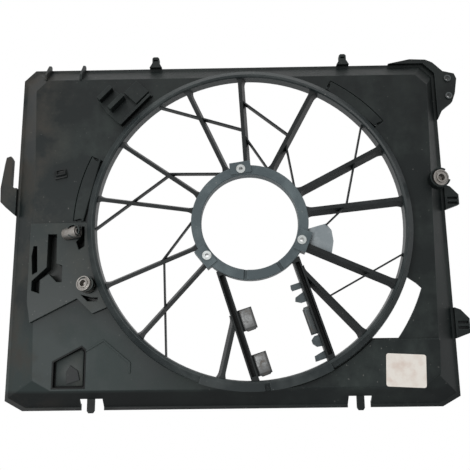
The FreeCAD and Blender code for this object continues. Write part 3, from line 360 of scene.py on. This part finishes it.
# painted highlight: the ring's base and edge are paler for the highlight along its lip
RING_NYLON = nylon("glass-filled nylon, ring", "#1f2526", "#4b504f", "#646b6a", 0.45, 0.4)
STRUT_NYLON = nylon("glass-filled nylon, struts", "#141717", "#3b3e40", "#3c4243", 0.3, 0.5)
# painted sheen: the motor seat is paler for the sheen on its flat face
SEAT_NYLON = nylon("glass-filled nylon, motor seat", "#485154", "#6c7678", "#7d8789", 0.6, 0.5)
# painted shade: near-black nylon for the shadowed tray and the wall above the duct
SHADE_NYLON = nylon("glass-filled nylon, grimy", "#0a0c0c", "#191b1b", "#222525", 0.3, 0.6)
HOOK_NYLON = nylon("glass-filled nylon, rail hooks", "#3d4446", "#6a7174", "#7a8183", 0.8, 0.5)
GUSSET_NYLON = nylon("glass-filled nylon, gusset", "#7f8689", "#a9aeb0", "#a4abad", 0.9, 0.5)
print("nylon finishes:", sum(material.name.startswith("glass") for material in bpy.data.materials))

# %% [markdown]
# ## Steel and film
# The clips are springs of bright carbon steel gone dull, and the inserts and bushes are zinc-plated
# or phosphated steel. All are metals, so their colour is that of their reflection, and what shows
# their age is a roughness that varies over about 5 mm, with brown stains where it is rough. The
# label is a matt film with blots about 14 mm across.

# %% Steel and film
STEEL_SPOT = 5
STAIN_PAINT = colour("#6b6157")
DULL_FADE = {"From Min": 0.4, "From Max": 0.65}
STAIN_FADE = {"From Min": 0.5, "From Max": 0.75, "To Max": 0.7}
BLOT = 14
BLOT_FADE = {"From Min": 0.45, "From Max": 0.7, "To Max": 0.6}
FILM_ROUGHNESS = 0.6


def steel(name, tint, rough):
    material = bpy.data.materials.new(name)
    material.use_nodes = True
    tree = material.node_tree
    place = node(tree, "ShaderNodeTexCoord").outputs["Object"]
    spot_noise = {"Vector": place, "Scale": 1000 / STEEL_SPOT, "Detail": 5.0, "Roughness": 0.65}
    spots = node(tree, "ShaderNodeTexNoise", spot_noise).outputs["Fac"]
    dull_fade = {"Value": spots, **DULL_FADE, "To Min": rough - 0.1, "To Max": rough + 0.2}
    dull = node(tree, "ShaderNodeMapRange", dull_fade)
    stain = node(tree, "ShaderNodeMapRange", {"Value": spots, **STAIN_FADE}).outputs[0]
    paint = node(tree, "ShaderNodeMix", {0: stain, 6: colour(tint), 7: STAIN_PAINT}, data_type="RGBA")
    surface = tree.nodes["Principled BSDF"]
    surface.inputs["Metallic"].default_value = 1.0
    tree.links.new(paint.outputs[2], surface.inputs["Base Color"])
    tree.links.new(dull.outputs[0], surface.inputs["Roughness"])
    return material


def film(name, tint, stain):
    material = bpy.data.materials.new(name)
    material.use_nodes = True
    tree = material.node_tree
    place = node(tree, "ShaderNodeTexCoord").outputs["Object"]
    blots = node(tree, "ShaderNodeTexNoise", {"Vector": place, "Scale": 1000 / BLOT, "Detail": 5.0})
    amount = node(tree, "ShaderNodeMapRange", {"Value": blots.outputs["Fac"], **BLOT_FADE}).outputs[0]
    paint = node(tree, "ShaderNodeMix", {0: amount, 6: colour(tint), 7: colour(stain)}, data_type="RGBA")
    surface = tree.nodes["Principled BSDF"]
    tree.links.new(paint.outputs[2], surface.inputs["Base Color"])
    surface.inputs["Roughness"].default_value = FILM_ROUGHNESS
    return material


SPRING_STEEL = steel("spring steel, dull", "#8d8a86", 0.45)
WORN_STEEL = steel("spring steel, worn", "#5c5d5d", 0.5)
ZINC_STEEL = steel("zinc-plated steel", "#a9adac", 0.4)
DARK_STEEL = steel("phosphated steel", "#4d5152", 0.5)
LABEL_FILM = film("polyester label film", "#e2dbd2", "#c9b3a6")
print("steels and film:", SPRING_STEEL.name, "...", LABEL_FILM.name)

# %% [markdown]
# ## Dressing the CAD nodes
# The CAD shapes are right as they are, so each keeps its mesh and takes the finish of its real
# material, save the corner tray, which takes near-black painted shade. A table names the finish of
# what isn't plain panel. Of the rest, the record says which are spring steel or zinc-plated steel,
# and all others get the panel's nylon.

# %% Finishes of the CAD nodes
FINISHES = {
    "fan_ring": RING_NYLON,
    "motor_ring": SEAT_NYLON,
    "main_struts": STRUT_NYLON,
    "bracing_struts": STRUT_NYLON,
    "module_rail_left": STRUT_NYLON,
    "module_rail_right": STRUT_NYLON,
    "motor_boss_gusset": GUSSET_NYLON,
    "service_deck": DECK_NYLON,
    "hose_clip_upper": DECK_NYLON,
    "hose_clip_lower": DECK_NYLON,
    "rail_hooks_right": HOOK_NYLON,
    # painted shade: the tray is near black round its raised floor
    "corner_tray": SHADE_NYLON,
    "pocket_clip": STRUT_NYLON,
    "tank_bushes": DARK_STEEL,
    "label": LABEL_FILM,
}
METALS = {"spring_steel": SPRING_STEEL, "zinc_steel": ZINC_STEEL}
slots = {entry["node"]: entry["material_slot"] for entry in frame["record"]["subparts"]}
for name, piece in frame["nodes"].items():
    finish = FINISHES.get(name) or METALS.get(slots[name]) or PANEL_NYLON
    piece.data.materials.clear()
    piece.data.materials.append(finish)
    for polygon in piece.data.polygons:
        polygon.material_index = 0
print("finished nodes:", len(slots))

# %% [markdown]
# ## Helpers for the small pieces
# The CAD model has the main forms. What it lacks is small: folded steel, a rim, a ledge, the
# label's round corners. Each is modelled as by hand: a primitive is added at its size, shaped in
# edit mode, bevelled, and then carried to its place. Four short functions hold what every piece
# needs: a start, a way to select by place, a way to draw out what is selected, and an end.

# %% Helpers for the small pieces
SHARP = math.radians(40)
SMOOTH = math.radians(35)
BEVEL_STEPS = 2


def begin(shape, name, **where):
    """Start a piece from a primitive and go into edit mode, with all of it selected."""
    bpy.ops.object.select_all(action="DESELECT")
    getattr(bpy.ops.mesh, f"primitive_{shape}_add")(**where)
    piece = bpy.context.object
    piece.name = name
    bpy.ops.object.mode_set(mode="EDIT")
    return piece


def pick(piece, kind, wanted):
    """Select only the vertices, edges or faces whose middle passes a test."""
    bpy.ops.mesh.select_mode(type=kind)
    bpy.ops.mesh.select_all(action="DESELECT")
    mesh = bmesh.from_edit_mesh(piece.data)
    parts = {"VERT": mesh.verts, "EDGE": mesh.edges, "FACE": mesh.faces}[kind]
    for part in parts:
        corners = [part] if kind == "VERT" else part.verts
        middle = sum((corner.co for corner in corners), Vector()) / len(corners)
        part.select_set(bool(wanted(middle)))
    mesh.select_flush_mode()
    bmesh.update_edit_mesh(piece.data)


def move(across, depth, up):
    """Draw the selection out by a vector in millimetres, with new faces behind it."""
    step = Vector((across, depth, up)) * MM
    bpy.ops.mesh.extrude_region_move(TRANSFORM_OT_translate={"value": step})


def end(piece, finish, body, round_by=0.0, place=None):
    """Leave edit mode, put the piece in its place, round its edges, and give it its finish and body."""
    bpy.ops.mesh.select_all(action="SELECT")
    bpy.ops.mesh.remove_doubles(threshold=1e-6)
    bpy.ops.mesh.normals_make_consistent(inside=False)
    bpy.ops.object.mode_set(mode="OBJECT")
    if place is not None:
        piece.matrix_world = place @ piece.matrix_world
    bpy.ops.object.transform_apply(location=True, rotation=True, scale=True)
    if round_by:
        bevel = piece.modifiers.new("rounded edges", "BEVEL")
        bevel.width = round_by
        bevel.segments = BEVEL_STEPS
        bevel.limit_method = "ANGLE"
        bevel.angle_limit = SHARP
        bpy.ops.object.modifier_apply(modifier=bevel.name)
    bpy.ops.object.shade_smooth_by_angle(angle=SMOOTH)
    piece.data.materials.clear()
    piece.data.materials.append(finish)
    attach(piece, body)
    return piece


# %% [markdown]
# ## Rim and ledges
# The skirt round the fan keeps its rim where it passes the open duct at the lower right, and a
# thin ledge behind each flap's hinge stops air that would leak past the knuckle. Both are parts of
# a circle, so a small flat profile is spun about the fan's axis. The profile is a plane, laid along
# its first step and drawn out edge by edge along the others. A step is so far outwards and so much
# deeper towards the engine, in millimetres.

# %% Rim and ledges
SPIN_STEP = 3.0
NEAR = 1e-4
RIM_ANGLES = (-45.5, -18.5)
RIM_PROFILE = {"start": (208.5, 48.2), "steps": [(7, -6.2), (2, -10.5)], "wall": 2.4}
LEDGE_ANGLES = {"left": (155, 178), "upper_right": (37.5, 60.5)}
LEDGE_PROFILE = {"start": (217.2, 19.3), "steps": [(11.4, 0)], "wall": 1.8}


def draw_profile(piece, start, steps, wall):
    """Lay the plane along the first step, then draw its end edge out along the others."""
    radius, depth = start
    spot = Vector((radius, -depth, 0)) * MM
    first = Vector((steps[0][0], -steps[0][1], 0)) * MM
    bpy.ops.transform.resize(value=(first.length, wall * MM, 1))
    slope = math.atan2(first.y, first.x)
    for corner in bmesh.from_edit_mesh(piece.data).verts:
        corner.co = Matrix.Rotation(slope, 3, "Z") @ corner.co
        corner.co += spot + first / 2
    reached = spot + first
    for across, deeper in steps[1:]:
        pick(piece, "EDGE", lambda middle: (middle - reached).length < NEAR)
        move(across, -deeper, 0)
        reached = reached + Vector((across, -deeper, 0)) * MM


def spun(name, angles, profile, finish):
    """Spin a profile about the fan's axis from the first angle to the second."""
    start_angle, end_angle = angles
    sweep = end_angle - start_angle
    piece = begin("plane", name, size=1.0)
    draw_profile(piece, **profile)
    bpy.ops.mesh.select_mode(type="FACE")
    bpy.ops.mesh.select_all(action="SELECT")
    aim = Matrix.Rotation(-math.radians(start_angle), 4, "Y")
    for corner in bmesh.from_edit_mesh(piece.data).verts:
        corner.co = aim @ corner.co
    bmesh.update_edit_mesh(piece.data)
    steps = round(abs(sweep) / SPIN_STEP)
    bpy.ops.mesh.spin(steps=steps, angle=math.radians(sweep), center=(0, 0, 0), axis=(0, 1, 0))
    return end(piece, finish, "shroud")


rim = spun("duct_rim", RIM_ANGLES, RIM_PROFILE, RING_NYLON)
for side, angles in LEDGE_ANGLES.items():
    ledge = spun(f"hinge_ledge_{side}", angles, LEDGE_PROFILE, PANEL_NYLON)
print("rim faces:", len(rim.data.polygons), "ledges:", len(LEDGE_ANGLES))

# %% [markdown]
# ## Wall above the duct
# The duct's upper corner is closed by a short wall that leans back, in near-black painted shade
# that stands for the dark recess there. A circle with as many corners as the outline has is moved
# onto it, corner by corner, and drawn out to a slab. The tray's floor is made in the same way further
# on.

# %% Wall above the duct
DUCT_WALL = [(214.5, -57.0), (226.5, -88.5), (216.5, -79.0)]
DUCT_WALL_DEPTH = 24.0
DUCT_WALL_THICK = 4
CIRCLE_START = 0.01


def outlined(name, corners, depth, thick):
    """A slab with the given outline at the given depth, left in edit mode."""
    piece = begin("circle", name, vertices=len(corners), radius=CIRCLE_START, fill_type="NGON")
    for corner, (across, up) in zip(bmesh.from_edit_mesh(piece.data).verts, corners):
        corner.co = Vector((across, -depth, up)) * MM
    move(0, thick, 0)
    return piece


wall = outlined("duct_wall", DUCT_WALL, DUCT_WALL_DEPTH, DUCT_WALL_THICK)
# painted shadow: the wall is near black
end(wall, SHADE_NYLON, "shroud")
print("duct wall box:", [round(size, 3) for size in wall.dimensions])

# %% [markdown]
# ## Spring clips
# Each clip of the left rail is one strip of spring steel folded over a plastic tab: a flat face, a
# rolled outer edge, and a small tail bent up at one end, so that it grips what is pushed under it.
# The right rail has a longer and narrower one that presses against the module. A box is stretched
# over the tab, its outer edges are rolled with a wide bevel, a step is inset, and the tail is drawn
# out of one end. The clips lie along slanted rails, so a matrix carries each to its place.

# %% Places beside the rails
RAIL_TOPS = {"left": Vector((-40.0, 0, -65.1)) * MM, "right": Vector((58.8, 0, -48.8)) * MM}
RAIL_DOWNS = {"left": Vector((0.2995, 0, -0.9541)), "right": Vector((0.306, 0, -0.952))}


def rail_place(side, down, out, depth):
    """A place in the bay beside a rail: X runs along the rail, Z into the bay, Y away from the engine."""
    inward = RAIL_DOWNS[side] if side == "left" else -RAIL_DOWNS[side]
    across = inward.cross(Vector((0, 1, 0)))
    spot = RAIL_TOPS[side] + (RAIL_DOWNS[side] * down + across * out) * MM + Vector((0, -depth * MM, 0))
    turn = Matrix((inward, Vector((0, 1, 0)), across)).transposed().to_4x4()
    return Matrix.Translation(spot) @ turn


print("rails start at", [tuple(round(part, 3) for part in top) for top in RAIL_TOPS.values()])

# %% Spring clips
# length along the rail, thickness and reach into the bay, in millimetres
SLEEVE = (26.0, 5.0, 17.0)
CONTACT = (34.0, 5.0, 10.0)
# how far down its rail each one sits
SLEEVES_DOWN = {"rail_spring_clip_upper": 70.0, "rail_spring_clip_lower": 129.0}
CONTACT_DOWN = 84.0
SLEEVE_OUT, CONTACT_OUT = 15.6, 9.0
CLIP_DEPTH = 38.6
ROLL = 0.42
ROLL_STEPS = 4
FACE_MARGIN, FACE_RISE = 2.2, 0.9
TAIL_MARGIN = 0.9
TAIL_STEP = (2.4, -0.5, 0)
TAIL_TAPER = (1, 0.35, 0.7)
FOLD_ROUND = 0.35


def add_sleeve(name, sizes, place, finish):
    length, thick, reach = (size * MM for size in sizes)
    piece = begin("cube", name, size=1.0)
    bpy.ops.transform.resize(value=(length, thick, reach))
    pick(piece, "EDGE", lambda middle: middle.z > reach * 0.4 and abs(middle.y) > thick * 0.4)
    bpy.ops.mesh.bevel(offset=thick * ROLL, segments=ROLL_STEPS)
    pick(piece, "FACE", lambda middle: middle.y < -thick * 0.45)
    bpy.ops.mesh.inset(thickness=FACE_MARGIN * MM, depth=0)
    bpy.ops.transform.translate(value=(0, -FACE_RISE * MM, 0))
    pick(piece, "FACE", lambda middle: middle.x > length * 0.45)
    bpy.ops.mesh.inset(thickness=TAIL_MARGIN * MM, depth=0)
    move(*TAIL_STEP)
    bpy.ops.transform.resize(value=TAIL_TAPER)
    return end(piece, finish, "shroud", FOLD_ROUND * MM, place)


for name, down in SLEEVES_DOWN.items():
    folded = name.replace("rail_spring_clip", "folded_sleeve")
    sleeve = add_sleeve(folded, SLEEVE, rail_place("left", down, SLEEVE_OUT, CLIP_DEPTH), WORN_STEEL)
    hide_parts(name)
contact_place = rail_place("right", CONTACT_DOWN, CONTACT_OUT, CLIP_DEPTH)
contact = add_sleeve("contact_clip", CONTACT, contact_place, DARK_STEEL)
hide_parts("rail_contact_spring")
print("rail clips:", len(contact.data.polygons), "faces each")

# %% [markdown]
# ## Sleeves of the hose and line clips
# The plastic clips are lined with rolled sheet steel. Seen from the engine such a sleeve is a
# short bright barrel with a rolled rim and a dark bore. A cylinder's face is inset to make the
# rim and pushed in to make the bore, and each barrel leans its own way, as worn ones do.

# %% Sleeves of the clips
# the clip that it lines, its radius and length, its lean sideways and upwards, and its shift
CLIP_BARRELS = {
    "hose_sleeve_upper": ("hose_clip_upper", 8.0, 22.0, (62, -4), (-3.5, 0.0, -2.0)),
    "hose_sleeve_lower": ("hose_clip_lower", 10.0, 15.0, (-16, -8), (-1.5, -1.5, -0.5)),
    "line_sleeve_right": ("line_clip_right", 11.0, 15.0, (10, 3), (0, 0, 0)),
}
BARREL_SIDES = 32
# share of the radius that each ring of the face takes, and how far it is then drawn out or sunk
BARREL_RINGS = [(0.16, -1.6), (0.22, 2.4), (0.2, -9)]
BARREL_ROUND = 0.4


def add_barrel(name, clip, radius, length, lean, shift):
    low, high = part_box(clip)
    middle = (low + high) / 2 + Vector(shift) * MM
    radius, length = radius * MM, length * MM
    piece = begin("cylinder", name, vertices=BARREL_SIDES, radius=radius, depth=length)
    pick(piece, "FACE", lambda spot: spot.z > length * 0.45)
    for share, drawn in BARREL_RINGS:
        bpy.ops.mesh.inset(thickness=radius * share, depth=0)
        move(0, 0, drawn)
    sideways, upwards = (math.radians(part) for part in lean)
    face = Matrix.Rotation(math.radians(90), 4, "X")
    tilt = Matrix.Rotation(sideways, 4, "Z") @ Matrix.Rotation(upwards, 4, "X")
    place = Matrix.Translation(middle) @ tilt @ face
    return end(piece, SPRING_STEEL, "shroud", BARREL_ROUND * MM, place)


barrels = [add_barrel(name, *sizes) for name, sizes in CLIP_BARRELS.items()]
for barrel in barrels:
    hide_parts("clip_liners")
print("clip sleeves:", len(barrels))

# %% [markdown]
# ## Tray floor and latch
# The pocket in the lower left corner has a raised floor with a moat round it, painted near black as
# shade, and a small latch stands on the panel at the left. The floor is a five-cornered outline drawn
# out to a slab.
# The latch starts as a flat box. Its front face is inset and drawn out aslant to a nose, and the
# nose's own face is inset and sunk to a pocket.

# %% Tray floor and latch
TRAY_FLOOR = [(-254.5, -209.5), (-219, -209.5), (-219, -165.5), (-222, -163), (-254.5, -177)]
TRAY_FLOOR_DEPTH = 18.0
TRAY_FLOOR_THICK = 3
TRAY_FLOOR_ROUND = 0.6
LATCH_BASE = (17, 3, 12)
# how far the front face is inset each time, and the vector by which it is then moved
LATCH_STEPS = [(2, (1.5, -4, 1.5)), (1.6, (0, 3, 0))]
LATCH_ROUND = 0.5
LATCH_TURN = math.radians(-12)
LATCH_PLACE = Vector((-259.5, -26, 75)) * MM

floor_slab = outlined("tray_floor", TRAY_FLOOR, TRAY_FLOOR_DEPTH, -TRAY_FLOOR_THICK)
end(floor_slab, DECK_NYLON, "shroud", TRAY_FLOOR_ROUND * MM)

latch = begin("cube", "panel_latch", size=1.0)
bpy.ops.transform.resize(value=Vector(LATCH_BASE) * MM)
pick(latch, "FACE", lambda middle: middle.y < -0.4 * LATCH_BASE[1] * MM)
for margin, step in LATCH_STEPS:
    bpy.ops.mesh.inset(thickness=margin * MM, depth=0)
    move(*step)
latch_place = Matrix.Translation(LATCH_PLACE) @ Matrix.Rotation(LATCH_TURN, 4, "Y")
end(latch, STRUT_NYLON, "shroud", LATCH_ROUND * MM, latch_place)
print("tray floor faces:", len(floor_slab.data.polygons), "latch faces:", len(latch.data.polygons))

# %% [markdown]
# ## The label
# The rating label is a stuck-on film with rounded corners, left blank here. A plane is given its
# size, its four corners are bevelled round, and a thin extrusion gives it an edge to catch light.

# %% Label
LABEL_SIZE = (51.0, 41.5)
LABEL_PLACE = Vector((196.8, -29.05, -194.6)) * MM
LABEL_TURN = math.radians(3)
LABEL_CORNER = 3
LABEL_CORNER_STEPS = 5
LABEL_THICK = 0.22

label = begin("plane", "label_film", size=1.0)
bpy.ops.transform.resize(value=(LABEL_SIZE[0] * MM, LABEL_SIZE[1] * MM, 1))
bpy.ops.mesh.select_mode(type="VERT")
bpy.ops.mesh.bevel(offset=LABEL_CORNER * MM, segments=LABEL_CORNER_STEPS, affect="VERTICES")
bpy.ops.mesh.select_all(action="SELECT")
move(0, 0, LABEL_THICK)
stand = Matrix.Rotation(LABEL_TURN, 4, "Y") @ Matrix.Rotation(math.radians(90), 4, "X")
end(label, LABEL_FILM, "shroud", place=Matrix.Translation(LABEL_PLACE) @ stand)
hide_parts("label")
print("label box:", [round(size, 3) for size in label.dimensions])
